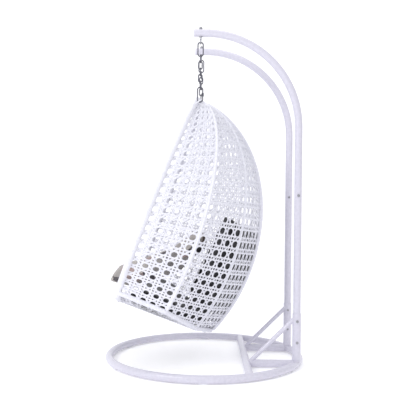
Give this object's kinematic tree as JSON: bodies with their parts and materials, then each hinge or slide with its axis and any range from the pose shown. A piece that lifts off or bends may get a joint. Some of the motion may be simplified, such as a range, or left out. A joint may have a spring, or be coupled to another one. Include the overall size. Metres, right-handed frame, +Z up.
{
  "type": "hanging egg chair",
  "caption": "Two-seat hanging egg chair: white woven basket with cushions, hung on twin chains from a tubular stand with two arches and a ring base.",
  "frame": {"origin": "centre of the base ring, on the floor", "axes": "+Z up; +X towards the two posts, so the seat faces -X; Y runs across the seat and the chair is mirror symmetric in Y apart from its pillows"},
  "size_m": [1.2038, 1.204, 1.9925],
  "materials": {
    "stand_coat": "satin white powder coat",
    "plastic_cap": "white moulded plastic",
    "zinc_bolt": "zinc plated",
    "dark_chain": "dark plated wire",
    "basket_frame": "white powder coat",
    "wicker": "white flat resin strand, woven",
    "cushion_cloth": "dark charcoal woven cloth",
    "pillow_cloth": "printed cloth in greys, brown and dusty pink"
  },
  "bodies": {
    "stand": {"base_ring": "stand_coat", "base_crossbar": "stand_coat", "glide_pads": "plastic_cap", "left_rail": "stand_coat", "right_rail": "stand_coat", "left_sleeve": "stand_coat", "right_sleeve": "stand_coat", "left_brace": "stand_coat", "right_brace": "stand_coat", "left_post": "stand_coat", "right_post": "stand_coat", "left_arch": "stand_coat", "right_arch": "stand_coat", "left_arch_cap": "plastic_cap", "right_arch_cap": "plastic_cap", "left_eye_bolt": "zinc_bolt", "right_eye_bolt": "zinc_bolt", "sleeve_bolts": "zinc_bolt", "sleeve_nuts": "zinc_bolt", "post_bolts": "zinc_bolt", "post_nuts": "zinc_bolt", "eye_washers": "zinc_bolt", "eye_nuts": "zinc_bolt"},
    "top_links": {"left_top_link": "dark_chain", "right_top_link": "dark_chain"},
    "left_chain_run": {"left_chain": "dark_chain"},
    "right_chain_run": {"right_chain": "dark_chain"},
    "quick_links": {"left_quick_link": "dark_chain", "right_quick_link": "dark_chain", "left_quick_link_nut": "dark_chain", "right_quick_link_nut": "dark_chain"},
    "basket": {"basket_rim": "basket_frame", "rim_binding": "wicker", "floor_hoop": "basket_frame", "spine_rib": "basket_frame", "crown_plate": "basket_frame", "floor_panel": "wicker", "seat_cushion": "cushion_cloth", "back_cushion": "cushion_cloth", "left_front_rib": "basket_frame", "right_front_rib": "basket_frame", "left_rear_rib": "basket_frame", "right_rear_rib": "basket_frame", "left_inner_seat_bar": "basket_frame", "right_inner_seat_bar": "basket_frame", "left_outer_seat_bar": "basket_frame", "right_outer_seat_bar": "basket_frame", "left_hanger_loop": "basket_frame", "right_hanger_loop": "basket_frame", "left_side_panel": "wicker", "right_side_panel": "wicker", "left_diagonal_panel": "wicker", "right_diagonal_panel": "wicker", "left_rear_panel": "wicker", "right_rear_panel": "wicker", "left_pillow": "pillow_cloth", "right_pillow": "pillow_cloth"}
  },
  "joints": [
    {"name": "chair_swing", "type": "hinge", "parent": "stand", "child": "top_links", "pos_m": [-0.041, 0, 1.894], "axis": [0, 1, 0], "range_deg": [-6, 18]},
    {"name": "left_chain_sway", "type": "hinge", "parent": "top_links", "child": "left_chain_run", "pos_m": [-0.041, -0.211, 1.8198], "axis": [1, 0, 0], "range_deg": [-12, 12]},
    {"name": "right_chain_sway", "type": "hinge", "parent": "top_links", "child": "right_chain_run", "pos_m": [-0.041, 0.211, 1.8198], "axis": [1, 0, 0], "range_deg": [-12, 12]},
    {"name": "quick_link_level", "type": "hinge", "parent": "left_chain_run", "child": "quick_links", "pos_m": [-0.041, -0.211, 1.6382], "axis": [1, 0, 0], "range_deg": [-12, 12]},
    {"name": "basket_tilt", "type": "hinge", "parent": "quick_links", "child": "basket", "pos_m": [-0.041, 0, 1.559], "axis": [0, 1, 0], "range_deg": [-4, 12]}
  ],
  "couplings": [
    {"joint": "right_chain_sway", "follows": "left_chain_sway", "ratio": 1},
    {"joint": "quick_link_level", "follows": "left_chain_sway", "ratio": -1}
  ]
}
